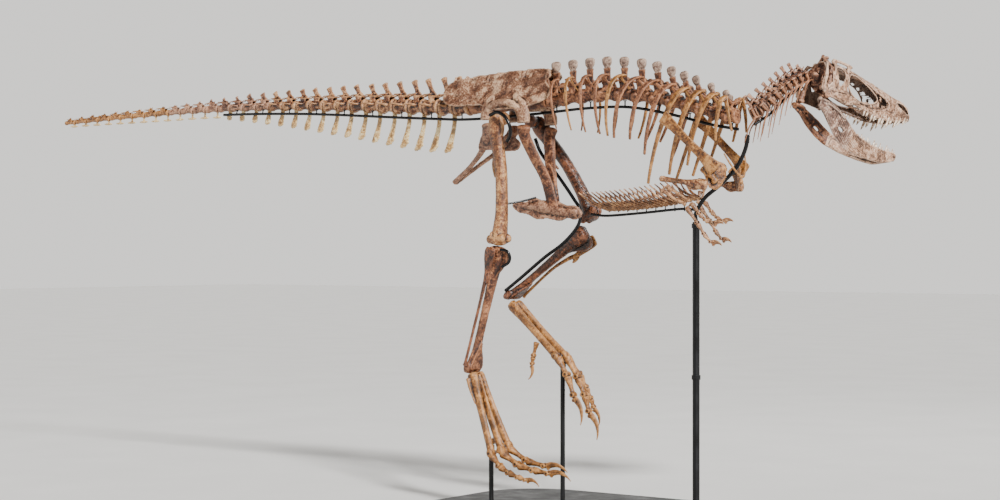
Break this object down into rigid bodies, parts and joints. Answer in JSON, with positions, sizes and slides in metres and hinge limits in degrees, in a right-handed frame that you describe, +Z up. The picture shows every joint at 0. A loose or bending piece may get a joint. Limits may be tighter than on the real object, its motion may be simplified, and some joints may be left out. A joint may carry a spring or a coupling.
{
  "type": "mounted dinosaur skeleton",
  "caption": "Life-size skeleton of a half-grown tyrannosaur, striding with its head turned and jaws open, held by steel posts and tubes on a flat base plate.",
  "frame": {"origin": "middle of the base plate's underside, on the floor", "axes": "+X the way the animal walks, +Y its left side, +Z up"},
  "size_m": [6.3508, 1.7761, 2.766],
  "materials": {
    "skull_bone": "matte, pitted",
    "brown_bone": "matte with a faint sheen of consolidant",
    "ochre_bone": "matte, mottled",
    "pale_bone": "matte, mottled",
    "black_steel": "gloss black paint"
  },
  "bodies": {
    "root": {"femur_left": "brown_bone", "femur_right": "brown_bone", "fibula_left": "brown_bone", "fibula_right": "brown_bone", "furcula": "ochre_bone", "gastralia": "ochre_bone", "hand_left": "ochre_bone", "hand_right": "ochre_bone", "humerus_left": "ochre_bone", "humerus_right": "ochre_bone", "ilium_left": "brown_bone", "ilium_right": "brown_bone", "ischium": "brown_bone", "mandible_left": "skull_bone", "mandible_right": "skull_bone", "metatarsus_left": "ochre_bone", "metatarsus_right": "ochre_bone", "neck_front": "brown_bone", "neck_rear": "brown_bone", "pubis": "brown_bone", "radius_left": "ochre_bone", "radius_right": "ochre_bone", "rib_cage_left": "ochre_bone", "rib_cage_right": "ochre_bone", "sacrum": "brown_bone", "scapula_left": "ochre_bone", "scapula_right": "ochre_bone", "skull": "skull_bone", "stand_base": "black_steel", "stand_bracket_hip_right": "black_steel", "stand_bracket_knee_right": "black_steel", "stand_post_front": "black_steel", "stand_rod_mid": "black_steel", "stand_rod_rear": "black_steel", "stand_strut_pubis": "black_steel", "stand_tube_back": "black_steel", "stand_tube_belly": "black_steel", "stand_tube_chest": "black_steel", "stand_tube_leg_left": "black_steel", "stand_tube_neck": "black_steel", "stand_tube_tail": "black_steel", "tail_1": "brown_bone", "tail_2": "brown_bone", "tail_3": "brown_bone", "tail_4": "brown_bone", "tibia_left": "brown_bone", "tibia_right": "brown_bone", "toe_1_left": "pale_bone", "toe_1_right": "pale_bone", "toe_2_left": "pale_bone", "toe_2_right": "pale_bone", "toe_3_left": "pale_bone", "toe_3_right": "pale_bone", "toe_4_left": "pale_bone", "toe_4_right": "pale_bone", "ulna_left": "ochre_bone", "ulna_right": "ochre_bone"}
  },
  "joints": []
}
